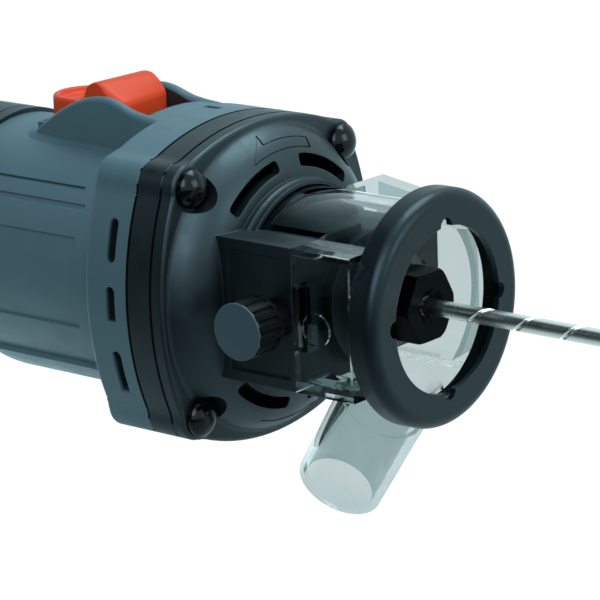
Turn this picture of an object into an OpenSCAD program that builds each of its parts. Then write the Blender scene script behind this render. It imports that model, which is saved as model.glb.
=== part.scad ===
// Drywall cut out tool: a straight motor body with a spiral cutter in a collet, a clear depth
// guide with a dust tube, a round foot ring, a clamp knob and a slide switch.
// Millimetres. Origin on the spindle axis at the front face of the foot ring.
// +X points forward along the cutter, +Z up through the switch, -Y is the clamp knob's side.

/* [Foot ring] */
// Outer diameter of the foot ring
ring_od = 66; // [56:1:80]
// Thickness of the foot ring
ring_t = 8.6; // [6:0.1:12]
// Rounding of the front outer edge
ring_round = 3.5; // [1:0.1:5]
// Diameter of the opening that the cutter works in
ring_hole_d = 46.2; // [42:0.1:48]
// Radius of the four sight notches in the opening
notch_r = 2.4; // [1:0.1:3]
// Thickness of the ring's lip in front of the clear barrel
lip_t = 1.8; // [1.2:0.1:4]

/* [Depth guide] */
// Outer diameter of the clear barrel
hood_od = 55.6; // [52:0.1:62]
// Wall of the clear moulding
hood_wall = 2.5; // [1.5:0.1:3]
// Length of the near side box behind the ring
near_len = 19.9; // [16:0.1:30]
// Distance of the near box face from the axis
near_reach = 31; // [30:0.1:36]
// Half height of the near box
near_half = 20; // [16:0.1:22]
// Length of the far side box behind the ring
far_len = 37.9; // [34:0.1:40]
// Distance of the far box face from the axis
far_reach = 32; // [31:0.1:36]
// Height of the far box above the axis at its rear
far_top_rear = 25.2; // [22:0.1:26]
// Height of the far box above the axis at its front
far_top_front = 19.4; // [19:0.1:24]
// Depth of the far box below the axis
far_bottom = 22.5; // [20:0.1:24]
// Travel of the depth guide
guide_travel = 14; // [5:0.5:14]
// Thickness of the tongue that the clamp knob holds
tongue_t = 2.5; // [2:0.1:3]
// Half height of the tongue
tongue_half = 9; // [6:0.5:11]

/* [Dust tube] */
// Outer diameter of the tube where it leaves the barrel
tube_top_d = 26.4; // [22:0.1:28]
// Outer diameter at the open end
tube_end_d = 24.8; // [20:0.1:26]
// Bore of the tube where a hose goes in
tube_bore_d = 20.4; // [16:0.1:21]
// Depth of that bore, down to its stop
port_depth = 28; // [15:0.5:30]
// Height of the stop
port_stop = 0.8; // [0.4:0.1:2]
// Angle of the tube back from straight down
tube_lean = 32.3; // [20:0.1:40]
// Distance of the tube's axis behind the sole, at the barrel's underside
tube_x = 21.5; // [20:0.1:26]
// Length of the tube below the barrel
tube_len = 34; // [20:0.5:50]

/* [Front cover] */
// Gap between the near box and the boss behind it
boss_gap = 0.3; // [0.2:0.05:1]
// Length of the near boss
boss_len = 24.1; // [20:0.1:30]
// Height of the dome
dome_h = 9.5; // [7:0.1:12]
// Width of the flat step between the rim and the dome
dome_step = 2.1; // [1.5:0.1:4]
// Radius of the hollow round the dome's foot
dome_fillet = 1.4; // [0.6:0.1:2]
// Radius of the dome at the neck
neck_r = 29.3; // [29:0.1:30.5]
// Thickness of the cover's rim
rim_t = 4.3; // [3:0.1:6]
// Wall of the dome
dome_wall = 3; // [2:0.1:4]
// Height of the neck ring
neck_h = 4.2; // [2:0.1:6]
// Diameter of the nose that carries the spindle
nose_d = 37; // [34:0.5:40]
// Half height of the far boss
far_boss_half = 16.5; // [12:0.5:18]
// Distance of the far boss face from the axis
far_boss_reach = 28.5; // [26:0.1:29]
// Length of the far boss in front of the dome
far_boss_len = 27.9; // [24:0.1:30]
// Inner radius of the air slots
slot_r_in = 32.5; // [32:0.1:33.5]
// Outer radius of the air slots
slot_r_out = 36.1; // [35:0.1:38]
// Corner radius of the air slots
slot_corner = 1.1; // [0.5:0.1:1.5]

/* [Flange and housing] */
// Half width of the flange between its lobes
flange_half = 45.7; // [45:0.1:50]
// Thickness of the flange's wall at the middle of each side
flange_rib = 4.9; // [4:0.1:6]
// Radius of the flange's four bowed sides
flange_bow = 78; // [60:1:120]
// Distance of each screw from the flange's side
screw_inset = 13.2; // [12:0.1:14]
// Diameter of each screw's head
screw_head_d = 10.8; // [9:0.1:11.4]
// Height of the screw's head above the rim
screw_head_h = 4.4; // [3:0.1:6]
// Radius of the screw head's crown
screw_crown = 6.6; // [6:0.1:12]
// Radius of the lobe round each screw
lobe_r = 6.6; // [6:0.1:9]
// Radius of the hollow corner beside each lobe
lobe_blend = 8; // [5:0.5:14]
// Thickness of the spacer plate
spacer_t = 8.6; // [5:0.1:12]
// Length of the housing flange
flange_t = 15.9; // [12:0.1:18]
// Rounding of the flange's rear edge
flange_round = 1.6; // [1:0.1:4]
// Length of the barrel behind the flange
barrel_len = 65; // [64:0.1:80]
// Outer diameter of the barrel
barrel_d = 73.2; // [72:0.1:76]
// Wall of the housing
wall = 3; // [2.5:0.1:3.5]
// Width of the side vents
vent_w = 3.2; // [2:0.1:4]
// How far the belly stands out of the barrel
belly_h = 1.6; // [1:0.1:3]
// Length of the belly
belly_len = 63.4; // [40:0.1:64]

/* [Switch] */
// Rear end of the switch guard, behind the flange
guard_len = 50.8; // [46:0.1:54]
// Distance of the guard's highest point behind the flange
guard_peak = 19.8; // [16:0.1:24]
// Height of the guard's highest point above the axis
guard_z = 48.8; // [46:0.1:52]
// Half width of the slot between the guard walls
guard_slot = 10.6; // [9:0.1:12]
// Thickness of the guard walls at the rear
guard_wall_rear = 1.9; // [1.5:0.1:3]
// Thickness of the guard walls at the front
guard_wall_front = 4.2; // [2.5:0.1:5]
// Radius of the hollow where the guard walls meet the barrel
guard_fillet = 2.2; // [1:0.1:3]
// Distance of the opening's front end behind the flange
opening_back = 4.8; // [4:0.1:8]
// Height of the slot's floor above the axis
guard_floor = 38.4; // [38:0.1:39.5]
// Travel of the switch
switch_travel = 6; // [3:0.5:6]
// Length of the switch slider
slider_len = 33; // [30:0.5:35]
// Room in front of the slider at the end of its travel
slider_room = 4.2; // [0:0.1:6]
// Radius of the slider's front corners
slider_corner = 1.6; // [1:0.1:4]
// Height of the slider's ridge above the axis
ridge_z = 52.2; // [50:0.1:56]
// Distance of the ridge behind the slider's front
ridge_back = 9.4; // [7:0.1:12]
// Height of the slider's front fold above the axis
fold_z = 46.8; // [45:0.1:49]
// Height of the finger pad above the axis
pad_z = 46; // [45:0.1:48]
// Thickness of the link bar that works the switch
link_t = 2.4; // [2:0.1:3]
// Width of the link bar
link_w = 8; // [6:0.5:9]
// Length of the slider's foot
foot_len = 6; // [4:0.5:8]
// Width of the slider's foot
foot_w = 5.2; // [4:0.1:7]
// Width of the switch block
block_w = 16; // [12:0.5:20]
// Height of the switch block
block_h = 18; // [14:0.5:22]
// Length of the switch block behind the link bar's end
block_back = 16; // [14:0.5:18]

/* [Clamp knob] */
// Diameter of the knob
knob_d = 16; // [12:0.5:20]
// Length of the fluted part
knob_len = 9.7; // [7:0.1:12]
// Distance of the knob's flat end from the axis
knob_reach = 47.4; // [46:0.1:52]
// Number of flutes
flutes = 16; // [10:1:20]
// Distance of the knob behind the boss's front
knob_back = 5.7; // [4.5:0.1:8]
// Diameter of the knob's stud
stud_d = 5; // [4:0.5:6]

/* [Spindle and cutter] */
// Diameter of the cutter
bit_d = 4.6; // [3:0.1:6.4]
// Length of the cutter in front of the sole
bit_out = 58; // [50:1:70]
// Length of the plain shank in front of the sole
shank_out = 9; // [5:0.5:14]
// Pitch of the cutter's spiral
bit_pitch = 15; // [8:0.5:20]
// Width across the nut's flats
nut_flats = 19; // [17:0.5:19]
// Distance of the nut's front behind the sole
nut_back = 5.8; // [3:0.1:8]
// Length of the nut's hexagon
nut_len = 8.8; // [6:0.1:10]
// Diameter of the spindle's round collar
spindle_collar_d = 26.8; // [22:0.1:28]
// Thickness of the spindle's round collar
spindle_collar_t = 3.6; // [2:0.1:5]
// Diameter of the spindle in the nose
spindle_d = 16; // [14:0.5:17]
// Diameter of the shaft in the front bearing
shaft_front_d = 12; // [10:0.5:13]
// Diameter of the shaft in the motor
shaft_d = 9; // [8:0.5:9.5]
// Diameter of the shaft in the rear bearing
shaft_rear_d = 8; // [6:0.5:8]
// Outer diameter of the front bearing
front_bearing_d = 28; // [24:0.5:28]
// Width of the front bearing
front_bearing_w = 8; // [6:0.1:9]
// Outer diameter of the nose bearing
nose_bearing_d = 24; // [22:0.5:26]
// Width of the nose bearing
nose_bearing_w = 6; // [4:0.1:8]
// Outer diameter of the rear bearing
rear_bearing_d = 22; // [19:0.5:24]
// Width of the rear bearing
rear_bearing_w = 7; // [5:0.1:8]

/* [Motor] */
// Gap between the fan and its chamber
fan_gap = 2.8; // [1.5:0.1:5]
// Number of fan blades
fan_blades = 13; // [9:1:17]
// Outer diameter of the field core
field_d = 65.6; // [62:0.1:66]
// Height across the field core's flats
field_flats = 57; // [52:0.5:58]
// Length of the field core
field_len = 40; // [30:1:42]
// Diameter of the armature core
armature_d = 35; // [32:0.5:36]
// Number of armature slots
armature_slots = 12; // [9:1:16]
// Air gap between armature and field
air_gap = 0.6; // [0.4:0.1:0.8]
// Diameter of the commutator
comm_d = 21; // [18:0.5:22]
// Length of the commutator
comm_len = 12; // [10:0.5:13]
// Number of commutator bars
comm_bars = 24; // [16:1:32]
// Side of the square carbon brush
brush_side = 6; // [4:0.5:6.5]
// Length of the carbon brush
brush_len = 10; // [8:0.5:14]
// Outer diameter of the brush holder tube
holder_d = 12; // [11:0.5:13]

/* [Rear cover] */
// Diameter of the rear cover
rear_d = 71; // [70:0.5:72]
// How far the rear cover's middle lies above the axis
rear_rise = 2.5; // [0:0.1:3]
// Length of the rear cover
rear_len = 84; // [80:1:95]
// Length of the straight part of the rear cover
rear_straight = 56; // [54:1:60]
// Diameter of the flat at the tail
tail_d = 34; // [30:1:40]
// Number of air slots on each side of the tail
tail_slots = 6; // [4:1:7]
// Bore of the cable inlet
inlet_d = 8.5; // [6:0.5:10]
// Outer diameter of the cable inlet ring
gland_d = 18; // [16:0.5:20]
// Length of the cable inlet ring
gland_len = 14; // [10:0.5:18]

/* [Fits] */
// Radial clearance of a running fit
run_fit = 0.05; // [0.02:0.01:0.09]
// Gap between pieces that slide past each other
slide_gap = 0.3; // [0.25:0.05:0.5]
// Gap between fitted pieces that stay put
seat_gap = 0.05; // [0.02:0.01:0.1]

/* [Hidden] */
$fn = 64;

ring_r = ring_od / 2;
hole_r = ring_hole_d / 2;
hood_r = hood_od / 2;
hood_in = hood_r - hood_wall;
barrel_r = barrel_d / 2;
barrel_in = barrel_r - wall;
nose_r = nose_d / 2;
chamber_r = flange_half - flange_rib;
screw_at = flange_half - screw_inset;
dome_r = flange_half - dome_step;
fan_r = chamber_r - fan_gap;
rear_r = rear_d / 2;
rear_in = rear_r - wall;

// Stations along the axis, from the sole backwards
x_ring = -ring_t;
x_near = x_ring - near_len;
x_far = x_ring - far_len;
x_boss = x_near - boss_gap;
x_dome = x_boss - boss_len;
x_rim = x_dome - dome_h;
x_spacer = x_rim - rim_t;
x_flange = x_spacer - spacer_t;
x_barrel = x_flange - flange_t;
x_rear = x_barrel - barrel_len;
x_tail = x_rear - rear_len;
x_nose = x_dome + far_boss_len;
x_neck = x_dome + neck_h;

// Motor stations
field_front = x_barrel - 8.8;
field_back = field_front - field_len;
comm_front = x_rear - 1.8;
comm_back = comm_front - comm_len;
brush_x = (comm_front + comm_back) / 2;
rear_bearing_front = comm_back - 6;
rear_bearing_back = rear_bearing_front - rear_bearing_w;
front_bearing_front = x_dome - 3.1;
front_bearing_back = front_bearing_front - front_bearing_w;
nose_bearing_front = x_nose - 2;
nose_bearing_back = nose_bearing_front - nose_bearing_w;
fan_front = x_spacer - 4.5;
fan_back = x_flange - 11.4;

// Turns a revolve or an extrusion so that its axis is +X and its flat lies in Y and Z
module along_x(x = 0) translate([x, 0, 0]) rotate([90, 0, 90]) children();
module slab_x(x0, x1) along_x(x0) linear_extrude(x1 - x0) children();
// Extrudes an X-Z outline from y0 to y1
module slab_y(y0, y1) translate([0, y1, 0]) rotate([90, 0, 0]) linear_extrude(y1 - y0) children();
module rod_x(x0, x1, r) slab_x(x0, x1) circle(r);
module tube_x(x0, x1, ro, ri) slab_x(x0, x1) difference() {
    circle(ro);
    circle(ri);
}
module rod_y(y0, y1, r, x, z) translate([x, y0, z]) rotate([-90, 0, 0]) cylinder(r = r, h = y1 - y0);
module box(x0, x1, y0, y1, z0, z1) translate([x0, y0, z0]) cube([x1 - x0, y1 - y0, z1 - z0]);
module at_screws() for (a = [-1, 1], b = [-1, 1]) translate([0, a * screw_at, b * screw_at]) children();

// A bar with both ends rounded in the profile plane, radius e at the front or rear outer edge
module edged_profile(r, x0, x1, e0, e1) {
    difference() {
        translate([0, x0]) square([r, x1 - x0]);
        translate([r - e1, x1 - e1]) square([e1 + 1, e1 + 1]);
        translate([r - e0, x0 - 1]) square([e0 + 1, e0 + 1]);
    }
    translate([r - e1, x1 - e1]) intersection() {
        circle(e1);
        square(e1);
    }
    translate([r - e0, x0 + e0]) intersection() {
        circle(e0);
        translate([0, -e0]) square(e0);
    }
}

// Flange outline: four bowed sides, a round lobe at each screw and a hollow corner beside it
bow_back = flange_bow - flange_half;
lobe_far = norm([screw_at + bow_back, screw_at]);
blend_far = flange_bow + lobe_blend;
blend_turn = atan2(screw_at, screw_at + bow_back) - acos((pow(blend_far, 2) + pow(lobe_far, 2)
    - pow(lobe_r + lobe_blend, 2)) / (2 * blend_far * lobe_far));
blend_at = [blend_far * cos(blend_turn) - bow_back, blend_far * sin(blend_turn)];
blend_side = [flange_bow * cos(blend_turn) - bow_back, flange_bow * sin(blend_turn)];
blend_lobe = [screw_at, screw_at] + (blend_at - [screw_at, screw_at]) * lobe_r / (lobe_r + lobe_blend);
module flange_webs() for (q = [0 : 90 : 270], s = [0, 1]) rotate(q) mirror([0, s, 0]) difference() {
    polygon([[0, 0], blend_side, blend_at, blend_lobe, [screw_at, screw_at]]);
    translate(blend_at) circle(lobe_blend - 0.02);
}
module flange_body(x0, x1, e0, e1) {
    intersection() {
        for_sides(0) bowed_disc(x0, x1, e0, e1);
        for_sides(90) bowed_disc(x0, x1, e0, e1);
        for_sides(180) bowed_disc(x0, x1, e0, e1);
        for_sides(270) bowed_disc(x0, x1, e0, e1);
    }
    at_screws() along_x() rotate_extrude($fn = 40) edged_profile(lobe_r, x0, x1, e0, e1);
    slab_x(x0 + e0 / 2, x1 - e1 / 2) flange_webs();
}
module for_sides(q) rotate([q, 0, 0]) translate([0, -bow_back, 0]) children();
module bowed_disc(x0, x1, e0, e1) along_x() rotate_extrude($fn = 128) edged_profile(flange_bow, x0, x1, e0, e1);

// The ring holds the front end of the clear barrel behind its lip
module foot_ring() color([0.14, 0.16, 0.18]) difference() {
    along_x() rotate_extrude($fn = 96) edged_profile(ring_r, x_ring, 0, 0.8, ring_round);
    rod_x(x_ring - 1, -lip_t, hood_r + seat_gap, $fn = 96);
    rod_x(-lip_t - 1, 1, hole_r);
    for (a = [0 : 90 : 270]) rotate([a, 0, 0]) translate([-lip_t - 1, hole_r, 0])
        rotate([0, 90, 0]) cylinder(r = notch_r, h = lip_t + 2, $fn = 24);
}

// Clear depth guide: barrel, the two side boxes, the tongue and the dust tube
hood_back = x_rim - 0.1;
hood_front = -lip_t - seat_gap;
far_front = x_ring;
module far_outline(w) polygon([
    [x_far - (w > 0 ? 1 : 0), far_top_rear - w],
    [far_front - w, far_top_front - w],
    [far_front - w, -far_bottom + w],
    [x_far - (w > 0 ? 1 : 0), -far_bottom + w]
]);
tube_dir = [-sin(tube_lean), 0, -cos(tube_lean)];
tube_start = 9;
module on_tube(s) translate([-tube_x, 0, -hood_r] + s * tube_dir) rotate([0, 180 + tube_lean, 0]) children();
tongue_y = near_reach - 4.2;
tongue_back = x_boss - knob_back - stud_d / 2 - guide_travel - 0.8;
module depth_guide() color([0.75, 0.82, 0.82, 0.4]) {
    difference() {
        union() {
            rod_x(hood_back, hood_front, hood_r, $fn = 96);
            box(x_near, x_ring, -near_reach, 0, -near_half, near_half);
            slab_y(0, far_reach) far_outline(0);
            intersection() {
                on_tube(-tube_start) cylinder(r1 = tube_top_d / 2, r2 = tube_end_d / 2, h = tube_start + tube_len);
                box(x_far - tube_len, x_ring, -hood_r, hood_r, -hood_r - 2 * tube_len, 0);
            }
        }
        rod_x(hood_back - 1, 1, hood_in, $fn = 96);
        box(x_near - 1, x_ring - hood_wall, hood_wall - near_reach, 0, hood_wall - near_half, near_half - hood_wall);
        slab_y(0, far_reach - hood_wall) far_outline(hood_wall);
        box(hood_back - 1, x_near, -near_reach - 1, 0, -near_half - slide_gap, near_half + slide_gap);
        box(hood_back - 1, x_far, 0, hood_r + 1, -far_boss_half - slide_gap, far_boss_half + slide_gap);
        on_tube(tube_len - port_depth) cylinder(r = tube_bore_d / 2, h = port_depth + 1);
        on_tube(-tube_start - 4) cylinder(r = tube_bore_d / 2 - port_stop, h = tube_start + tube_len);
        recess_in_near_box();
    }
    box(tongue_back, x_near + 3, -tongue_y, tongue_t - tongue_y, -tongue_half, tongue_half);
    box(x_near, x_near + 3, -near_reach + hood_wall, tongue_t - tongue_y, -tongue_half, tongue_half);
}
// Shallow round recess in the outer face of the near box
recess_x = x_ring - 12.4;
recess_depth = 1;
module recess_in_near_box() rod_y(-near_reach - 1, recess_depth - near_reach, 4.6, recess_x, -1.5, $fn = 40);

// Front cover: lobed rim, domed shell with air slots, neck, spindle nose and the two side bosses
neck_in = hood_r + slide_gap;
core_r = hood_in - slide_gap - 0.1;
dome_chord = norm([dome_r - neck_r, dome_h]);
dome_sag = 2.43;
dome_arc = (pow(dome_chord / 2, 2) + pow(dome_sag, 2)) / (2 * dome_sag);
dome_lean = atan2(dome_r - neck_r, dome_h);
dome_cr = (dome_r + neck_r) / 2 - (dome_arc - dome_sag) * cos(dome_lean);
dome_cx = (x_rim + x_dome) / 2 - (dome_arc - dome_sag) * sin(dome_lean);
foot_r = dome_cr + sqrt(pow(dome_arc + dome_fillet, 2) - pow(x_rim + dome_fillet - dome_cx, 2));
foot_share = (dome_fillet + 0.4) / (dome_arc + dome_fillet);
foot_in = foot_r + (dome_cr - foot_r) * foot_share;
module dome_profile(inset) intersection() {
    translate([dome_cr, dome_cx]) circle(dome_arc - inset, $fn = 128);
    translate([dome_cr, x_spacer - 1]) square([dome_r, 40]);
}
module dome_solid() along_x() rotate_extrude($fn = 128) {
    intersection() {
        union() {
            dome_profile(0);
            translate([0, x_spacer]) square([dome_cr + 0.01, dome_cx + dome_arc - x_spacer]);
        }
        translate([0, x_spacer]) square([dome_r, 30]);
    }
    // hollow round the foot
    difference() {
        polygon([[foot_r, x_rim - 0.4], [foot_r, x_rim + dome_fillet],
            [foot_in, x_rim + dome_fillet + (dome_cx - x_rim - dome_fillet) * foot_share], [foot_in, x_rim - 0.4]]);
        translate([foot_r, x_rim + dome_fillet]) circle(dome_fillet - 0.03, $fn = 48);
    }
    difference() {
        translate([0, x_dome - 2]) square([neck_r + 0.4, neck_h + 2]);
        translate([neck_r + 2.9, x_dome + 2.9]) circle(2.9, $fn = 48);
        translate([neck_r + 0.05, x_dome + 2.6]) square([3, neck_h]);
    }
}
module arc_band(r0, r1, a0, a1, inset) difference() {
    circle(r1);
    circle(r0);
    rotate(a0) translate([-60, inset - 120]) square(120);
    rotate(a1) translate([-60, -inset]) square(120);
}
// A slot along an arc, with its four corners rounded
module arc_slot(r0, r1, a0, a1) {
    e = slot_corner;
    at = e + 0.03;
    arc_band(r0, r1, a0, a1, at);
    arc_band(r0 + at, r1 - at, a0, a1, 0);
    for (rc = [r0 + at, r1 - at]) {
        rotate(a0) translate([sqrt(pow(rc, 2) - pow(at, 2)), at]) circle(e, $fn = 32);
        rotate(a1) translate([sqrt(pow(rc, 2) - pow(at, 2)), -at]) circle(e, $fn = 32);
    }
}
cavity_in = neck_in + 2.9;
screw_head_r = screw_head_d / 2;
crown_x = x_rim + screw_head_h - screw_crown;
insert_r = 4;
module front_cover() color([0.1, 0.11, 0.12]) difference() {
    union() {
        flange_body(x_spacer, x_rim, 0.3, 1.1);
        dome_solid();
        rod_x(x_dome - 1, x_dome + 2.6, core_r);
        rod_x(x_dome, x_nose, nose_r);
        box(x_dome - 4, x_boss, -near_reach, 0, -near_half, near_half);
        box(x_dome - 4, x_nose, 0, far_boss_reach, -far_boss_half, far_boss_half);
    }
    // fan chamber under the dome
    along_x() rotate_extrude($fn = 96) difference() {
        union() {
            intersection() {
                dome_profile(dome_wall);
                translate([cavity_in, x_spacer - 1]) square([dome_r, 40]);
            }
            translate([cavity_in, x_spacer - 1]) square([dome_r - dome_wall - cavity_in, rim_t]);
        }
        translate([dome_r - dome_wall, x_spacer - 2]) square([20, 40]);
    }
    // air slots
    for (a = [[46, 83], [98, 135], [-83, -46], [-135, -97]])
        slab_x(x_spacer - 1, x_dome + 2) arc_slot(slot_r_in, slot_r_out, a[0], a[1]);
    // pocket that the rear of the clear barrel slides in
    difference() {
        tube_x(hood_back - slide_gap, x_neck + 1, neck_in, core_r);
        box(x_spacer, x_nose, -neck_in - 1, 0, -near_half, near_half);
        box(x_spacer, x_nose, 0, neck_in + 1, -far_boss_half, far_boss_half);
    }
    // recessed panel of the near boss
    box(x_dome + 1.9, x_boss - 1.3, -near_reach - 1, 0.8 - near_reach, 3 - near_half, near_half - 3);
    // tongue slot and its open mouth
    box(tongue_back - slide_gap, x_boss + 1, -tongue_y - slide_gap, tongue_t - tongue_y + slide_gap,
        -tongue_half - slide_gap, tongue_half + slide_gap);
    // insert for the clamp stud
    rod_y(-near_reach - 1, -tongue_y, insert_r, x_boss - knob_back, 0, $fn = 40);
    // spindle bore and bearing seats
    rod_x(x_spacer - 1, front_bearing_front, front_bearing_d / 2 + seat_gap);
    rod_x(x_spacer - 1, x_nose + 1, spindle_d / 2 + 0.8);
    rod_x(nose_bearing_back, x_nose + 1, nose_bearing_d / 2 + seat_gap);
    // room for the screw heads
    at_screws() rod_x(x_rim + 0.01, x_dome + 20, screw_head_r + 1.1, $fn = 48);
    at_screws() rod_x(x_spacer - 1, x_rim + 1, 2.5 + seat_gap, $fn = 32);
}

module spacer_plate() color([0.13, 0.14, 0.15]) difference() {
    flange_body(x_flange, x_spacer, 0.3, 0.3);
    rod_x(x_flange - 1, x_spacer + 1, chamber_r);
    at_screws() rod_x(x_flange - 1, x_spacer + 1, 2.5 + seat_gap, $fn = 32);
}

module cover_screws() color([0.03, 0.03, 0.035]) at_screws() {
    along_x() rotate_extrude() intersection() {
        translate([0, crown_x]) circle(screw_crown, $fn = 96);
        translate([0, x_rim]) square([screw_head_r, screw_crown]);
    }
    rod_x(x_flange - 9.9, x_rim + 1, 2.5, $fn = 32);
}

// Motor housing: flange, barrel, belly, side panels and the guard round the switch
guard_x0 = x_barrel - guard_len;
guard_x1 = x_barrel + 2.2;
guard_peak_x = x_barrel - guard_peak;
opening_front = x_barrel - opening_back;
guard_z0 = sqrt(pow(barrel_r, 2) - pow(guard_slot + 1, 2)) - 0.8;
guard_z1 = sqrt(pow(flange_bow, 2) - pow(guard_slot + guard_wall_front / 2, 2)) - bow_back - 0.3;
guard_steps = 30;
guard_ring = 10;
guard_foot = 5;
function ease(t) = (1 - cos(180 * t)) / 2;
function clamp01(t) = max(0, min(1, t));
function guard_top(x) = x < guard_peak_x
    ? guard_z0 + (guard_z - guard_z0) * sin(90 * (x - guard_x0) / (guard_peak_x - guard_x0))
    : guard_z - (guard_z - guard_z1) * ease(clamp01((x - guard_peak_x) / (x_barrel - 1.4 - guard_peak_x)));
// The wall starts narrow, so that its rear end is round in plan
function guard_outer(x) = let (t = clamp01((x - guard_x0) / 7))
    guard_slot + 0.6 + (guard_wall_rear - 0.6) * sqrt(1 - pow(1 - t, 2))
    + (guard_wall_front - guard_wall_rear) * (x - guard_x0) / (guard_x1 - guard_x0);
// One cross section of a guard wall: a rounded top and a hollow foot that runs into the barrel
function guard_section(x) = let (
        yi = guard_slot,
        yo = guard_outer(x),
        r = (yo - yi) / 2,
        zt = guard_top(x),
        zb = barrel_r - 8,
        f = guard_fillet * clamp01(0.1 + (x - guard_x0) / 13),
        zs = sqrt(pow(barrel_r, 2) - pow(yo + f, 2)) - 0.45,
        zr = max(zs + f + 0.05, zt - r)
    ) concat([[x, yi, zb]],
        [for (i = [0 : guard_ring]) let (a = 180 - 180 * i / guard_ring)
            [x, yi + r + r * cos(a), zr + r * sin(a)]],
        [for (i = [0 : guard_foot]) let (a = 180 + 90 * i / guard_foot)
            [x, yo + f + f * cos(a), zs + f + f * sin(a)]],
        [[x, yo + f, zb]]);
module guard_wall() {
    n = guard_ring + guard_foot + 4;
    pts = [for (k = [0 : guard_steps]) each guard_section(guard_x0 + (guard_x1 - guard_x0) * k / guard_steps)];
    sides = [for (k = [0 : guard_steps - 1], i = [0 : n - 1])
        each [[k * n + i, k * n + (i + 1) % n, (k + 1) * n + i],
            [(k + 1) * n + i, k * n + (i + 1) % n, (k + 1) * n + (i + 1) % n]]];
    ends = [[for (i = [n - 1 : -1 : 0]) i], [for (i = [0 : n - 1]) guard_steps * n + i]];
    polyhedron(pts, concat(sides, ends), convexity = 6);
}
vent_arcs = [[14.3, 29.9], [-8.2, 6.7], [-34.9, -16.7]];
vent_x = x_flange - 6.2;
vent_turn = asin(vent_w / 2 / flange_half);
module housing_vents() for (s = [0, 1], v = vent_arcs) mirror([0, s, 0]) {
    along_x() rotate([0, 0, 180 - v[1] + vent_turn]) rotate_extrude(angle = v[1] - v[0] - 2 * vent_turn)
        translate([chamber_r - 2, vent_x - vent_w / 2]) square([12, vent_w]);
    for (a = [v[0] + vent_turn + 0.3, v[1] - vent_turn - 0.3]) rotate([180 - a, 0, 0])
        rod_y(chamber_r - 2, chamber_r + 10, vent_w / 2 - 0.03, vent_x, 0, $fn = 32);
}
switch_slot_x = guard_x0 + 8;
module motor_housing() color([0.36, 0.45, 0.48]) {
    housing_shell();
    // bosses that the rear cover's screws bite in
    for (p = rear_screw_at) difference() {
        union() {
            translate([0, p[0], p[1]]) rod_x(x_rear + 0.3, x_rear + 5.5, min(4.2, barrel_in + 1 - norm(p)), $fn = 32);
            rotate([atan2(p[1], p[0]), 0, 0]) box(x_rear + 0.4, x_rear + 5.4, norm(p), barrel_in + 1, -3, 3);
        }
        translate([0, p[0], p[1]]) rod_x(x_rear - 1, x_rear + 5, 1.5 + seat_gap, $fn = 24);
    }
}
module housing_shell() difference() {
    union() {
        flange_body(x_barrel, x_flange, flange_round, 0.3);
        rod_x(x_rear, x_barrel + 1, barrel_r, $fn = 96);
        belly();
        guard_wall();
        mirror([0, 1, 0]) guard_wall();
        // front end of the switch opening
        intersection() {
            box(opening_front, x_barrel + flange_round + 0.4, -guard_slot - 0.6 * guard_wall_front,
                guard_slot + 0.6 * guard_wall_front, 20, 60);
            for_sides(90) rod_x(opening_front - 1, x_barrel + 8, flange_bow - 0.06, $fn = 128);
        }
        // floor of the switch opening
        box(guard_x0 + 3, opening_front + 1, -guard_slot - 0.9, guard_slot + 0.9, barrel_in + 0.5, guard_floor);
    }
    // inside of the barrel and of the flange
    rod_x(x_rear - 1, x_flange + 1, barrel_in, $fn = 96);
    rod_x(x_barrel + wall, x_flange + 1, chamber_r, $fn = 96);
    // travel of the slider's foot
    box(switch_slot_x, switch_slot_x + foot_len + switch_travel + 2 * slide_gap, -foot_w / 2 - slide_gap,
        foot_w / 2 + slide_gap, barrel_in - 2, guard_floor + 1);
    housing_vents();
    side_marks();
    at_screws() rod_x(x_flange - 10.3, x_flange + 1, 2.5 + seat_gap, $fn = 32);
    // small mark on the flange's top
    box(x_flange - 12.6, x_flange - 7, 2.6, 5.4, flange_half - 0.9, flange_half + 1);
}
// Belly: a band round the underside with a rounded rear end
module belly() intersection() {
    along_x() rotate_extrude($fn = 96) polygon(concat(
        [[barrel_in + 1, x_barrel + 1], [barrel_r + belly_h, x_barrel + 1]],
        [for (i = [0 : 12]) let (a = 90 * i / 12)
            [barrel_r + belly_h - (1 - cos(a)) * (belly_h + 2), x_barrel - belly_len + 10 - 10 * sin(a)]]));
    slab_x(x_barrel - belly_len - 1, x_barrel + 2) polygon([[0, 0], [60, -60 * tan(46)], [60, -90],
        [-60, -90], [-60, -60 * tan(46)]]);
}
// Grooves and recessed panels on both sides of the barrel
module groove(a, half, depth, x_front) for (s = [0, 1]) mirror([0, s, 0])
    along_x() rotate([0, 0, a - half]) rotate_extrude(angle = 2 * half)
        translate([barrel_r - depth, x_rear + 6]) square([depth + 2, x_front - x_rear - 6]);
module side_marks() {
    groove(44, 0.8, 1, x_barrel - 16.2);
    groove(35, 1.3, 0.5, x_barrel - 13.2);
    groove(0, 21.1, 0.6, x_barrel - 13.4);
}

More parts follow.
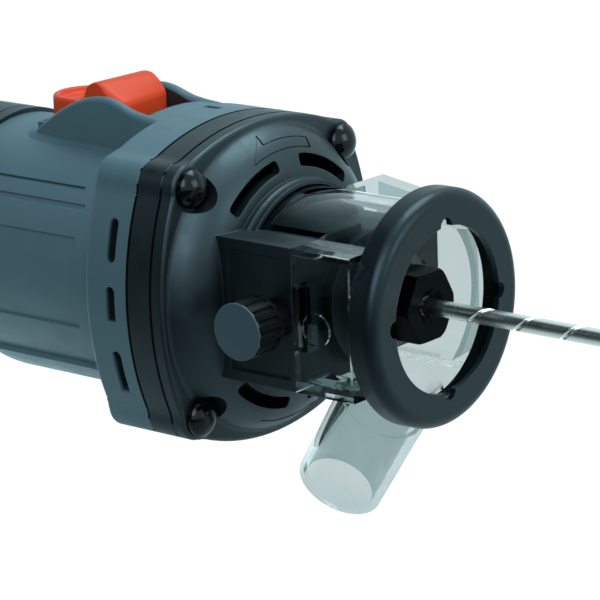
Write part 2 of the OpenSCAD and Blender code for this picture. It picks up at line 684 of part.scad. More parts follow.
// Rear cover: round shell with a tapered tail, air slots, brush cap holes and the cable inlet
rear_screw_at = [for (a = [-1, 1], b = [-1, 1]) [a * 21.5, rear_rise + b * 21.5]];
rear_screw_seat = x_rear - rear_straight - 5;
module rear_profile(inset) {
    r = rear_r - inset;
    tr = tail_d / 2 - inset;
    x1 = x_rear - rear_straight;
    x2 = x_tail + inset;
    polygon(concat([[0, x_rear + (inset > 0 ? 1 : 0)], [r, x_rear + (inset > 0 ? 1 : 0)]],
        [for (i = [0 : 14]) let (a = 90 * i / 14) [tr + (r - tr) * cos(a), x1 + (x2 - x1) * sin(a)]],
        [[0, x2]]));
}
module rear_cover() color([0.12, 0.13, 0.14]) difference() {
    union() {
        difference() {
            translate([0, 0, rear_rise]) along_x() rotate_extrude($fn = 96) rear_profile(0);
            translate([0, 0, rear_rise]) along_x() rotate_extrude($fn = 96) rear_profile(wall);
        }
        intersection() {
            for (p = rear_screw_at) translate([0, p[0], p[1]]) rod_x(rear_screw_seat - 3, x_rear, 4.2, $fn = 32);
            translate([0, 0, rear_rise]) along_x() rotate_extrude($fn = 96) rear_profile(0.5);
        }
        // wall round the cable inlet
        translate([0, 0, rear_rise]) rod_x(x_tail + 0.5, x_tail + gland_len - 4, gland_d / 2 + 3);
    }
    for (p = rear_screw_at) translate([0, p[0], p[1]]) {
        rod_x(x_tail - 10, x_rear + 1, 1.8, $fn = 24);
        rod_x(x_tail - 10, rear_screw_seat, 3.7, $fn = 32);
    }
    translate([0, 0, rear_rise]) rod_x(x_tail - 1, x_tail + gland_len + 1, gland_d / 2 + seat_gap);
    for (s = [0, 1]) mirror([0, s, 0]) rod_y(20, rear_r + 5, holder_d / 2 + seat_gap, brush_x, 0, $fn = 40);
    // two fine band grooves round the front of the cover
    for (x = [x_rear - 4.2, x_rear - 20]) translate([0, 0, rear_rise])
        tube_x(x - 0.7, x, rear_r + 2, rear_r - 0.7, $fn = 96);
    // air slots at the tail
    for (s = [0, 1], i = [0 : tail_slots - 1]) mirror([0, s, 0])
        box(x_tail + 7, x_tail + 22, 12, 60, rear_rise - 1.25 + 4.6 * (i - (tail_slots - 1) / 2),
            rear_rise + 1.25 + 4.6 * (i - (tail_slots - 1) / 2));
}
module rear_screws() color([0.45, 0.46, 0.48]) for (p = rear_screw_at) translate([0, p[0], p[1]])
    difference() {
        union() {
            rod_x(rear_screw_seat, x_rear + 4.5, 1.5, $fn = 24);
            rod_x(rear_screw_seat - 2.6, rear_screw_seat, 3.3, $fn = 32);
        }
        box(rear_screw_seat - 3, rear_screw_seat - 1.4, -2.2, 2.2, -0.5, 0.5);
        box(rear_screw_seat - 3, rear_screw_seat - 1.4, -0.5, 0.5, -2.2, 2.2);
    }
module cable_gland() color([0.06, 0.06, 0.07]) translate([0, 0, rear_rise]) difference() {
    union() {
        rod_x(x_tail, x_tail + gland_len, gland_d / 2);
        along_x() rotate_extrude() edged_profile(gland_d / 2 + 2, x_tail - 4, x_tail, 1.2, 0.2);
    }
    rod_x(x_tail - 5, x_tail + gland_len + 1, inlet_d / 2);
}

// Clamp knob, its cap, stud and threaded insert
knob_x = x_boss - knob_back;
knob_root = knob_reach - knob_len;
cap_t = 1.2;
module clamp_knob() color([0.05, 0.055, 0.06]) difference() {
    union() {
        rod_y(-knob_reach + 0.4, -knob_root, knob_d / 2, knob_x, 0);
        rod_y(-knob_root - 1, -near_reach - slide_gap, knob_d / 2 - 2.4, knob_x, 0);
    }
    for (i = [0 : flutes - 1]) translate([knob_x, 0, 0]) rotate([0, 360 * i / flutes, 0])
        rod_y(-knob_reach - 1, -knob_root - 0.8, 0.75, knob_d / 2 + 0.15, 0, $fn = 16);
    rod_y(-knob_reach - 1, -knob_reach + cap_t, knob_d / 2 - 0.9, knob_x, 0);
    rod_y(-knob_reach - 1, -near_reach + 2, stud_d / 2 + seat_gap, knob_x, 0, $fn = 40);
}
module knob_cap() color([0.22, 0.27, 0.3]) translate([knob_x, -knob_reach, 0]) rotate([-90, 0, 0])
    rotate_extrude() polygon([[0, 0], [knob_d / 2 - 1.5, 0], [knob_d / 2 - 0.95, 0.5],
        [knob_d / 2 - 0.95, cap_t], [0, cap_t]]);
module knob_stud() color([0.6, 0.62, 0.64])
    rod_y(-knob_reach + cap_t, -tongue_y - slide_gap, stud_d / 2, knob_x, 0, $fn = 40);
module clamp_insert() color([0.72, 0.58, 0.3]) difference() {
    rod_y(-near_reach + 0.9, -tongue_y - slide_gap, insert_r - seat_gap, knob_x, 0, $fn = 40);
    rod_y(-near_reach - 1, -tongue_y + 1, stud_d / 2 + run_fit, knob_x, 0, $fn = 40);
}

// Slide switch: finger pad, hood with its ridge, foot and the link bar inside the barrel
slider_front = opening_front - slide_gap - switch_travel - slider_room;
slider_back = slider_front - slider_len;
slider_half = guard_slot - slide_gap;
slider_floor = guard_floor + slide_gap;
ridge_x = slider_front - ridge_back;
link_top = barrel_in - 1.2;
foot_x = switch_slot_x + slide_gap;
module slider_side() polygon([
    [ridge_x - 6.1, slider_floor],
    [ridge_x - 6.1, pad_z + 0.8],
    [ridge_x - 5.2, ridge_z - 2.9],
    [ridge_x - 3.9, ridge_z - 1.3],
    [ridge_x - 2.1, ridge_z - 0.4],
    [ridge_x, ridge_z],
    [ridge_x + 1.3, ridge_z - 0.1],
    [ridge_x + 2.3, ridge_z - 0.7],
    [slider_front - 0.6, fold_z],
    [slider_front, slider_floor + 2],
    [slider_front, slider_floor]
]);
module slider_pad() {
    translate([slider_back + slider_half, 0]) circle(slider_half);
    translate([slider_back + slider_half, -slider_half]) square([slider_len - slider_half - slider_corner - 0.5, 2 * slider_half]);
}
module switch_slider() color([0.88, 0.36, 0.2]) {
    difference() {
        union() {
            intersection() {
                slab_y(-slider_half, slider_half) slider_side();
                union() {
                    box(slider_back, slider_front - slider_corner, -slider_half, slider_half, slider_floor, ridge_z + 1);
                    box(slider_back, slider_front, slider_corner - slider_half, slider_half - slider_corner,
                        slider_floor, ridge_z + 1);
                    for (s = [-1, 1]) translate([slider_front - slider_corner,
                        s * (slider_half - slider_corner), slider_floor])
                        cylinder(r = slider_corner - 0.02, h = ridge_z + 1 - slider_floor, $fn = 32);
                }
            }
            translate([0, 0, slider_floor + 2.2]) linear_extrude(pad_z - slider_floor - 2.2) slider_pad();
            box(slider_back + slider_half, slider_front - slider_corner - 0.5, -slider_half, slider_half,
                slider_floor, slider_floor + 2.3);
        }
        // dished finger pad
        intersection() {
            translate([0, 0, pad_z - 2]) linear_extrude(4) translate([slider_back + slider_half, 0])
                union() {
                    circle(slider_half - 2);
                    translate([0, 2 - slider_half]) square([ridge_x - 6.1 - slider_back - slider_half, 2 * slider_half - 4]);
                }
            box(slider_back, ridge_x - 6.1, -slider_half, slider_half, pad_z - 3, ridge_z);
        }
    }
    for (k = [1, 2]) box(ridge_x - 8 - 3.6 * k, ridge_x - 6.6 - 3.6 * k, 2.6 - slider_half, slider_half - 2.6,
        pad_z - 2.2, pad_z - 0.7);
    box(foot_x, foot_x + foot_len, -foot_w / 2, foot_w / 2, link_top, slider_floor + 0.5);
}
link_back = rear_bearing_back - 16;
module switch_link() color([0.2, 0.2, 0.22]) {
    box(link_back, foot_x + foot_len + 2, -link_w / 2, link_w / 2, link_top - link_t, link_top);
    box(link_back, link_back + 3, 1 - link_w / 2, link_w / 2 - 1, block_top + slide_gap, link_top - link_t);
}
block_top = link_top - link_t - 4;
block_front = link_back + 5 + slide_gap + switch_travel;
module switch_block() color([0.16, 0.16, 0.17]) {
    box(link_back - block_back, block_front, -block_w / 2, block_w / 2, block_top - block_h, block_top - 2.5);
    box(link_back - 8, link_back - 5, -link_w / 2, link_w / 2, block_top - 3, block_top + 1.5);
    box(block_front - 2, block_front, -link_w / 2, link_w / 2, block_top - 3, block_top + 1.5);
    box(link_back - 12, link_back - 8, -block_w / 2, block_w / 2, block_top - 3,
        sqrt(pow(rear_in, 2) - pow(block_w / 2, 2)) + rear_rise);
}

// Cutter, collet, nut and spindle
bit_r = bit_d / 2;
collet_front = -nut_back - 2.6;
collet_back = collet_front - 20;
thread_r = spindle_d / 2 - 0.6;
collet_r = bit_r + 2.4;
nut_front = -nut_back;
nut_rear = nut_front - nut_len;
collar_back = nut_rear - 0.4 - spindle_collar_t;
module cutter_bit() color([0.72, 0.73, 0.74]) {
    rod_x(collet_back + 1, shank_out, bit_r, $fn = 48);
    along_x(shank_out) linear_extrude(bit_out - 3 - shank_out, twist = -360 * (bit_out - 3 - shank_out) / bit_pitch,
        slices = 44, convexity = 4) difference() {
            circle(bit_r, $fn = 16);
            translate([bit_r, 0]) circle(bit_r * 0.42, $fn = 8);
        }
    along_x(bit_out - 3) cylinder(r1 = bit_r - 0.1, r2 = 0.3, h = 3, $fn = 32);
}
module collet() color([0.55, 0.56, 0.58]) difference() {
    along_x() rotate_extrude($fn = 48) polygon([
        [bit_r + 0.02, collet_back], [collet_r, collet_back], [collet_r, collet_front - 3],
        [collet_r - 0.8, collet_front], [bit_r + 0.02, collet_front]
    ]);
    for (a = [0, 60, 120]) rotate([a, 0, 0])
        box(collet_back + 5, collet_front + 1, -collet_r - 1, collet_r + 1, -0.35, 0.35);
}
module collet_nut() color([0.1, 0.105, 0.11]) difference() {
    intersection() {
        slab_x(nut_rear, nut_front) circle(nut_flats / sqrt(3), $fn = 6);
        along_x() rotate_extrude() edged_profile(nut_flats / sqrt(3) - 0.15, nut_rear, nut_front, 0.5, 1);
    }
    rod_x(nut_rear - 1, nut_front - 2.5, thread_r + run_fit);
    along_x() rotate_extrude() polygon([
        [0, nut_front + 1], [bit_r + 2.9, nut_front + 1], [bit_r + 2.9, nut_front], [bit_r + 0.7, nut_front - 1.4],
        [bit_r + 0.7, nut_front - 3], [0, nut_front - 3]
    ]);
}
module spindle_shaft() color([0.6, 0.61, 0.63]) difference() {
    union() {
        rod_x(collar_back - 1, nut_front - 2.6, thread_r);
        slab_x(collar_back, collar_back + spindle_collar_t) intersection() {
            circle(spindle_collar_d / 2);
            square([spindle_collar_d + 1, spindle_collar_d - 3], center = true);
        }
        rod_x(front_bearing_front, collar_back, spindle_d / 2);
        rod_x(x_spacer - 1.5, front_bearing_front, shaft_front_d / 2);
        rod_x(rear_bearing_front, x_spacer - 1.4, shaft_d / 2);
        rod_x(rear_bearing_back - 1, rear_bearing_front, shaft_rear_d / 2);
    }
    rod_x(collet_back - 0.5, nut_front, collet_r + seat_gap);
}
module bearing(x0, x1, ro, ri) {
    rt = ri + (ro - ri) * 0.3;
    rs = ri + (ro - ri) * 0.7;
    difference() {
        tube_x(x0, x1, ro, ri);
        tube_x(x0 - 1, x0 + 0.5, rs, rt);
        tube_x(x1 - 0.5, x1 + 1, rs, rt);
    }
}
module nose_bearing() color([0.65, 0.66, 0.68])
    bearing(nose_bearing_back, nose_bearing_front, nose_bearing_d / 2, spindle_d / 2 + run_fit);
module front_bearing() color([0.65, 0.66, 0.68])
    bearing(front_bearing_back, front_bearing_front, front_bearing_d / 2, shaft_front_d / 2 + run_fit);
module rear_bearing() color([0.65, 0.66, 0.68])
    bearing(rear_bearing_back, rear_bearing_front, rear_bearing_d / 2, shaft_rear_d / 2 + run_fit);
// Ring that holds the front bearing in the cover
module bearing_retainer() color([0.5, 0.51, 0.53]) tube_x(x_spacer - 1, front_bearing_back,
    front_bearing_d / 2, front_bearing_d / 2 - 3.5);
// Cross piece in the rear cover that carries the rear bearing
bridge_r = rear_in - seat_gap;
module bearing_bridge() color([0.17, 0.17, 0.18]) difference() {
    union() {
        rod_x(rear_bearing_back - 4, rear_bearing_front, rear_bearing_d / 2 + 3);
        translate([0, 0, rear_rise]) tube_x(rear_bearing_back - 4, rear_bearing_back, bridge_r, bridge_r - 3);
        intersection() {
            for (a = [0, 90]) rotate([a, 0, 0])
                box(rear_bearing_back - 4, rear_bearing_back, -rear_r, rear_r, -8, 8);
            translate([0, 0, rear_rise]) rod_x(rear_bearing_back - 5, rear_bearing_back + 1, bridge_r);
        }
    }
    rod_x(rear_bearing_back, rear_bearing_front + 1, rear_bearing_d / 2 + seat_gap);
    rod_x(rear_bearing_back - 5, rear_bearing_back + 1, shaft_rear_d / 2 + 1);
    box(rear_bearing_back - 5, rear_bearing_back + 1, -link_w / 2 - slide_gap, link_w / 2 + slide_gap,
        link_top - link_t - slide_gap, rear_r + rear_rise);
    for (p = rear_screw_at) translate([0, p[0], p[1]]) rod_x(rear_bearing_back - 5, rear_bearing_back + 1, 4.6, $fn = 32);
}

// Motor
module fan() color([0.2, 0.21, 0.22]) difference() {
    union() {
        rod_x(fan_back, fan_back + 1.6, fan_r, $fn = 96);
        rod_x(fan_back, fan_front - 1, shaft_d / 2 + 8);
        for (i = [0 : fan_blades - 1]) rotate([360 * i / fan_blades, 0, 0]) intersection() {
            rotate([14, 0, 0]) box(fan_back + 1, fan_front, shaft_d / 2 + 7, fan_r + 2, -0.7, 0.7);
            rod_x(fan_back, fan_front + 1, fan_r - 0.6, $fn = 96);
        }
    }
    rod_x(fan_back - 1, fan_front + 1, shaft_d / 2 + seat_gap);
}
module armature_core() color([0.4, 0.41, 0.42]) difference() {
    rod_x(field_back, field_front, armature_d / 2);
    rod_x(field_back - 1, field_front + 1, shaft_d / 2 + seat_gap);
    for (i = [0 : armature_slots - 1]) rotate([360 * i / armature_slots, 0, 0]) {
        box(field_back - 1, field_front + 1, armature_d / 2 - 3, armature_d / 2 + 1, -0.9, 0.9);
        translate([field_back - 1, armature_d / 2 - 6, 0]) rotate([0, 90, 0])
            cylinder(r = 2.2, h = field_len + 2, $fn = 20);
    }
}
module armature_windings() color([0.62, 0.33, 0.16]) {
    for (i = [0 : armature_slots - 1]) rotate([360 * i / armature_slots, 0, 0])
        translate([field_back - 0.5, armature_d / 2 - 6, 0]) rotate([0, 90, 0])
            cylinder(r = 2.1, h = field_len + 1, $fn = 20);
    for (s = [0, 1]) along_x() rotate_extrude($fn = 48)
        translate([shaft_d / 2 + seat_gap, s == 0 ? field_front + 0.05 : field_back - 6.05])
            edged_profile(armature_d / 2 - 3 - shaft_d / 2, 0, 6, s == 0 ? 0.1 : 2.5, s == 0 ? 2.5 : 0.1);
}
module commutator() color([0.72, 0.45, 0.25]) difference() {
    rod_x(comm_back, comm_front, comm_d / 2);
    rod_x(comm_back - 1, comm_front + 1, shaft_d / 2 + seat_gap);
    for (i = [0 : comm_bars - 1]) rotate([360 * i / comm_bars, 0, 0])
        box(comm_back - 1, comm_front - 2, comm_d / 2 - 0.6, comm_d / 2 + 1, -0.2, 0.2);
}
coil_in = armature_d / 2 + air_gap + 2;
coil_out = field_d / 2 - 5;
module coil_sector(r0, r1, half) intersection() {
    difference() {
        circle(r1);
        circle(r0);
    }
    polygon([[0, 0], [60, -60 * tan(half)], [60, 60 * tan(half)]]);
}
module field_core() color([0.36, 0.37, 0.38]) difference() {
    slab_x(field_back, field_front) intersection() {
        circle(field_d / 2);
        square([field_d + 2, field_flats], center = true);
    }
    rod_x(field_back - 1, field_front + 1, armature_d / 2 + air_gap);
    for (s = [0, 1]) mirror([0, s, 0]) slab_x(field_back - 1, field_front + 1)
        coil_sector(coil_in - 0.3, coil_out + 0.3, 42);
}
module field_coils() color([0.6, 0.3, 0.14]) for (s = [0, 1]) mirror([0, s, 0])
    slab_x(field_back - 8, field_front + 8) coil_sector(coil_in, coil_out, 41);
module brush_holders() color([0.75, 0.6, 0.32]) for (s = [0, 1]) mirror([0, s, 0]) difference() {
    rod_y(comm_d / 2 + 2.5, rear_r - 4, holder_d / 2, brush_x, 0, $fn = 40);
    box(brush_x - brush_side / 2 - 0.1, brush_x + brush_side / 2 + 0.1, 0, rear_r,
        -brush_side / 2 - 0.1, brush_side / 2 + 0.1);
}
module carbon_brushes() color([0.12, 0.12, 0.12]) for (s = [0, 1]) mirror([0, s, 0])
    box(brush_x - brush_side / 2, brush_x + brush_side / 2, comm_d / 2 + run_fit, comm_d / 2 + brush_len,
        -brush_side / 2, brush_side / 2);
// Brush spring: an unbroken coil between the brush and the cap
spring_wire = 0.35;
spring_turns = 6;
spring_steps = 12;
spring_sides = 5;
spring_y0 = comm_d / 2 + brush_len + 0.4;
spring_y1 = rear_r - 4.4;
module coil_spring() {
    n = spring_turns * spring_steps;
    rc = brush_side / 2 - spring_wire - 0.4;
    pts = [for (k = [0 : n]) let (a = 360 * k / spring_steps, y = spring_y0 + (spring_y1 - spring_y0) * k / n)
        for (j = [0 : spring_sides - 1]) let (b = 360 * j / spring_sides, q = rc + spring_wire * cos(b))
            [q * cos(a), y + spring_wire * sin(b), q * sin(a)]];
    sides = [for (k = [0 : n - 1], j = [0 : spring_sides - 1])
        each [[k * spring_sides + j, (k + 1) * spring_sides + j, k * spring_sides + (j + 1) % spring_sides],
            [(k + 1) * spring_sides + j, (k + 1) * spring_sides + (j + 1) % spring_sides,
                k * spring_sides + (j + 1) % spring_sides]]];
    ends = [[for (j = [0 : spring_sides - 1]) j], [for (j = [spring_sides - 1 : -1 : 0]) n * spring_sides + j]];
    polyhedron(pts, concat(sides, ends), convexity = 8);
}
module brush_springs() color([0.7, 0.71, 0.72]) for (s = [0, 1]) mirror([0, s, 0])
    translate([brush_x, 0, 0]) coil_spring();
module brush_caps() color([0.1, 0.1, 0.11]) for (s = [0, 1]) mirror([0, s, 0]) difference() {
    rod_y(rear_r - 4, rear_r, holder_d / 2, brush_x, 0, $fn = 40);
    box(brush_x - 5, brush_x + 5, rear_r - 1.2, rear_r + 1, -0.6, 0.6);
}

foot_ring();
depth_guide();
front_cover();
spacer_plate();
motor_housing();
cover_screws();
rear_cover();
rear_screws();
cable_gland();
clamp_knob();
knob_cap();
knob_stud();
clamp_insert();
switch_slider();
switch_link();
switch_block();
cutter_bit();
collet();
collet_nut();
spindle_shaft();
nose_bearing();
front_bearing();
bearing_retainer();
rear_bearing();
bearing_bridge();
fan();
armature_core();
armature_windings();
commutator();
field_core();
field_coils();
brush_holders();
carbon_brushes();
brush_springs();
brush_caps();
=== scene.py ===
import math

import bpy
import bmesh
from mathutils import Matrix, Vector


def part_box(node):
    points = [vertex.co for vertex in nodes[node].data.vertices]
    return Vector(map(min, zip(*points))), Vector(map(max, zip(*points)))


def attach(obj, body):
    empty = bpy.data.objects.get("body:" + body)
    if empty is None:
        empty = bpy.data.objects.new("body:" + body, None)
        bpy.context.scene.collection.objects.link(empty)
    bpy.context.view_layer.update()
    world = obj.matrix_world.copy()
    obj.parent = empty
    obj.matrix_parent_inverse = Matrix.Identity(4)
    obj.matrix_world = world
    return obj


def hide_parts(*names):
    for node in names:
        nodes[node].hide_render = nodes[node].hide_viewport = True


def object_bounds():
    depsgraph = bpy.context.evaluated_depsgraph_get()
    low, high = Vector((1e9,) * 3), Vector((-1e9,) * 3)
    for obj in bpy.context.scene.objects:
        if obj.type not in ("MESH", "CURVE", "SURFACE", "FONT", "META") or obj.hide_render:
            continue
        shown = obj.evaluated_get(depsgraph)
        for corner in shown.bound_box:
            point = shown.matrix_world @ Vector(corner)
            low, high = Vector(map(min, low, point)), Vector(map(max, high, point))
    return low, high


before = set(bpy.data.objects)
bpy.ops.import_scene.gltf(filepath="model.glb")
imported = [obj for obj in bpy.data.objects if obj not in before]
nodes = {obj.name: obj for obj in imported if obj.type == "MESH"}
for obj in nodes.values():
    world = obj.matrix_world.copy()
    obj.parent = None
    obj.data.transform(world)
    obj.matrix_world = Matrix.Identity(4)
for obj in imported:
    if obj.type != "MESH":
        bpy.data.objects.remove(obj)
cad_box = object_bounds()
MM = 0.001


# Node trees
class Graph:
    """Adds nodes to one node tree and joins them."""

    def __init__(self, tree):
        self.tree = tree
        tree.nodes.clear()

    def node(self, kind, **values):
        """A new node. Each value is one of its settings, or the constant of one of its inputs."""
        n = self.tree.nodes.new(kind)
        for k, v in values.items():
            if hasattr(n, k):
                setattr(n, k, v)
            else:
                n.inputs[k].default_value = v
        return n

    def feed(self, socket, value):
        """Give an input socket a constant or the output of another node."""
        if hasattr(value, "links"):
            self.tree.links.new(value, socket)
        else:
            socket.default_value = value

    def calc(self, operation, a, b=None):
        n = self.node("ShaderNodeMath", operation=operation)
        self.feed(n.inputs[0], a)
        if b is not None:
            self.feed(n.inputs[1], b)
        return n.outputs[0]

    def product(self, first, *others):
        for other in others:
            first = self.calc("MULTIPLY", first, other)
        return first

    def remap(self, value, source, target, smooth=False):
        """Carry the range source over to the range target."""
        n = self.node("ShaderNodeMapRange")
        if smooth:
            n.interpolation_type = "SMOOTHSTEP"
        for name, end in zip(("From Min", "From Max", "To Min", "To Max"), source + target):
            n.inputs[name].default_value = end
        self.feed(n.inputs["Value"], value)
        return n.outputs[0]

    def mix(self, fac, a, b):
        """Mix two colours."""
        n = self.node("ShaderNodeMix", data_type="RGBA")
        for place, v in ((0, fac), (6, a), (7, b)):
            self.feed(n.inputs[place], v)
        return n.outputs[2]

    def mix_value(self, fac, a, b):
        n = self.node("ShaderNodeMix", data_type="FLOAT")
        for place, v in ((0, fac), (2, a), (3, b)):
            self.feed(n.inputs[place], v)
        return n.outputs[0]

    def mix_shader(self, fac, a, b):
        n = self.node("ShaderNodeMixShader")
        for place, v in enumerate((fac, a, b)):
            self.feed(n.inputs[place], v)
        return n.outputs[0]

    def split(self, vector):
        """The X, Y and Z of a vector."""
        n = self.node("ShaderNodeSeparateXYZ")
        self.feed(n.inputs[0], vector)
        return n.outputs["X"], n.outputs["Y"], n.outputs["Z"]


# Materials
def srgb(r, g, b):
    def one(v):
        v /= 255.0
        return v / 12.92 if v <= 0.04045 else ((v + 0.055) / 1.055) ** 2.4
    return (one(r), one(g), one(b), 1)


def scaled(colour, gain, lift=0.0):
    return tuple(min(1, c * gain + lift) for c in colour[:3]) + (1,)


# The part of a noise's values that holds most of them, and its upper parts
NOISE_SPAN, UPPER_SPAN, GRAIN_SPAN = (0.3, 0.7), (0.35, 0.7), (0.35, 0.75)
# How far the rounded normal leaves the true one, as their dot product, near an edge
EDGE_SPAN = (0.75, 0.98)


class Material(Graph):
    """A material with one Principled shader."""

    def __init__(self, name):
        self.data = bpy.data.materials.new(name)
        self.data.use_nodes = True
        super().__init__(self.data.node_tree)
        out = self.node("ShaderNodeOutputMaterial")
        self.bsdf = self.node("ShaderNodeBsdfPrincipled")
        self.feed(out.inputs[0], self.bsdf.outputs[0])
        self.place = self.node("ShaderNodeTexCoord").outputs["Object"]

    def set(self, **values):
        for k, v in values.items():
            self.feed(self.bsdf.inputs[k.replace("_", " ")], v)

    def noise(self, scale, detail, rough=0.55, stretch=None):
        n = self.node("ShaderNodeTexNoise", Scale=scale, Detail=detail, Roughness=rough)
        place = self.place
        if stretch:
            mapping = self.node("ShaderNodeMapping", Scale=stretch)
            self.feed(mapping.inputs["Vector"], place)
            place = mapping.outputs[0]
        self.feed(n.inputs["Vector"], place)
        return n.outputs["Fac"]

    def ramp(self, noise, low, high):
        """A colour that goes from low to high."""
        n = self.node("ShaderNodeValToRGB")
        for stop, place, colour in zip(n.color_ramp.elements, NOISE_SPAN, (low, high)):
            stop.position = place
            stop.color = colour
        self.feed(n.inputs[0], noise)
        return n.outputs[0]

    def bump(self, height, strength, distance, normal=None):
        n = self.node("ShaderNodeBump", Strength=strength, Distance=distance)
        self.feed(n.inputs["Height"], height)
        if normal is not None:
            self.feed(n.inputs["Normal"], normal)
        return n.outputs[0]

    def soft_edge(self, radius):
        n = self.node("ShaderNodeBevel", Radius=radius)
        n.samples = 6
        return n.outputs[0]

    def edge_mask(self, radius):
        """1 near sharp edges, 0 elsewhere."""
        dot = self.node("ShaderNodeVectorMath", operation="DOT_PRODUCT")
        self.feed(dot.inputs[0], self.soft_edge(radius))
        self.feed(dot.inputs[1], self.node("ShaderNodeNewGeometry").outputs["Normal"])
        return self.remap(dot.outputs["Value"], EDGE_SPAN, (1.0, 0.0))


CLOUDS, EDGE_WEAR_AND_SHEEN, SHEEN = 38.0, 420.0, 130.0


def plastic(name, colour, rough, grain=2600.0, grain_depth=0.00004, vary=0.06, spec=0.4,
            edge=0.00035, edge_wear_and_sheen=0.35, tint=(1, 1, 1, 1)):
    """Moulded plastic: fine grain, cloudy tone, and paler edges that are partly scuffed wear and
    partly a painted highlight along the rims.
    """
    m = Material(name)
    base = m.ramp(m.noise(CLOUDS, 5.0), scaled(colour, 1 - vary), scaled(colour, 1 + vary))
    fine = m.noise(grain, 2.0, 0.6)
    base = m.mix(m.remap(fine, GRAIN_SPAN, (0.0, 0.10)), base, scaled(colour, 1.6, 0.0004))
    # paler edges: partly scuffed wear, partly a painted highlight along rims and lips
    wear_and_sheen = m.remap(m.noise(EDGE_WEAR_AND_SHEEN, 6.0, 0.7), UPPER_SPAN, (0.0, edge_wear_and_sheen))
    base = m.mix(m.product(m.edge_mask(edge), wear_and_sheen), base, scaled(colour, 1.8, 0.008))
    m.set(Base_Color=base, Specular_IOR_Level=spec, Specular_Tint=tint,
          Roughness=m.remap(m.noise(SHEEN, 6.0, 0.6), NOISE_SPAN, (rough - 0.06, rough + 0.08)),
          Normal=m.bump(fine, 0.35, grain_depth, m.soft_edge(edge * 1.2)))
    return m


def metal(name, colour, rough, brush=(1, 1, 1), brush_scale=900.0, edge=0.0002, vary=0.1,
          spread=0.35, depth=0.00003):
    """Brushed metal, with streaks that are wide where brush is small."""
    m = Material(name)
    streak = m.noise(brush_scale, 3.0, 0.6, stretch=brush)
    m.set(Metallic=1.0, Base_Color=m.ramp(streak, scaled(colour, 1 - vary), colour),
          Roughness=m.remap(streak, NOISE_SPAN, (rough * (1 - spread), rough * (1 + spread))),
          Normal=m.bump(streak, 0.12, depth, m.soft_edge(edge)))
    return m


def clear_plastic(name):
    """Clear plastic with a glossy skin, a faint haze and slight waves."""
    m = Material(name)
    haze = m.noise(160.0, 5.0, 0.6)
    m.set(Transmission_Weight=1.0, IOR=1.12, Coat_Weight=0.7, Coat_Roughness=0.03, Coat_IOR=1.4,
          Base_Color=m.ramp(haze, srgb(187, 201, 201), srgb(191, 205, 205)),
          Roughness=m.remap(haze, UPPER_SPAN, (0.01, 0.04)),
          Normal=m.bump(m.noise(55.0, 3.0, 0.5), 0.06, 0.0002))
    return m


# Where the side vents and the switch well lie, in metres, and how much painted shade fills them
SIDE_BOW, SIDE_BOW_BACK, VENT_LIP, VENT_FULL_SHADE, VENT_REAR, VENT_TOP = (
    0.078, 0.0323, 0.0006, 0.0012, -0.0885, 0.03)
WELL_HALF, WELL_FLOOR, WELL_FRONT = 0.0107, 0.037, -0.0955
RECESS_SHADE, RECESS_SHADE_SHARE = (0.004, 0.005, 0.006, 1), 0.92


def paint_recess_shade(m):
    """Painted shade: make the inside of the side vents and of the switch well darker by place,
    where shade falls in these recesses.
    """
    x, y, z = m.split(m.place)
    across, height = m.calc("ABSOLUTE", y), m.calc("ABSOLUTE", z)
    far = m.calc("ADD", across, SIDE_BOW_BACK)
    far = m.calc("SQRT", m.calc("ADD", m.product(far, far), m.product(z, z)))
    depth = m.calc("SUBTRACT", SIDE_BOW, far)
    vent = m.product(m.remap(depth, (VENT_LIP, VENT_FULL_SHADE), (0.0, 1.0)),
                     m.calc("GREATER_THAN", x, VENT_REAR), m.calc("LESS_THAN", height, VENT_TOP))
    well = m.product(m.calc("LESS_THAN", across, WELL_HALF), m.calc("LESS_THAN", x, WELL_FRONT),
                     m.calc("GREATER_THAN", z, WELL_FLOOR))
    painted_shade = m.calc("MULTIPLY", m.calc("MAXIMUM", vent, well), RECESS_SHADE_SHARE)
    m.set(Base_Color=m.mix(painted_shade, m.bsdf.inputs["Base Color"].links[0].from_socket, RECESS_SHADE))


COOL = (0.72, 0.92, 1.0, 1)
housing = plastic("housing_grey", srgb(76, 98, 106), rough=0.5, spec=0.5, vary=0.04)
# painted shade inside the side vents and the switch well
paint_recess_shade(housing)
cover = plastic("cover_black", srgb(3, 5, 7), rough=0.44, spec=0.66, vary=0.05, edge_wear_and_sheen=0.5,
                tint=COOL)
ring_mat = plastic("ring_black", srgb(13, 18, 21), rough=0.34, spec=0.34, vary=0.04, tint=COOL)
knob_mat = plastic("knob_black", srgb(3, 4, 5), rough=0.36, spec=0.12, edge=0.00015)
cap_mat = plastic("cap_slate", srgb(60, 76, 84), rough=0.45, spec=0.4)
inner = plastic("inner_plastic", srgb(14, 15, 16), rough=0.55)
gland_mat = plastic("rubber_black", srgb(22, 23, 25), rough=0.7, spec=0.25, grain=1500.0)
orange = plastic("switch_orange", srgb(221, 66, 30), rough=0.42, spec=0.2, vary=0.04,
                 edge_wear_and_sheen=0.25)
screw_mat = plastic("screw_gloss", srgb(2, 2, 3), rough=0.17, spec=0.3, grain=5200.0,
                    grain_depth=0.000002, edge=0.0001, edge_wear_and_sheen=0.1)
nut_mat = plastic("nut_black", srgb(3, 5, 8), rough=0.3, spec=0.03, grain=1800.0, edge=0.0002)
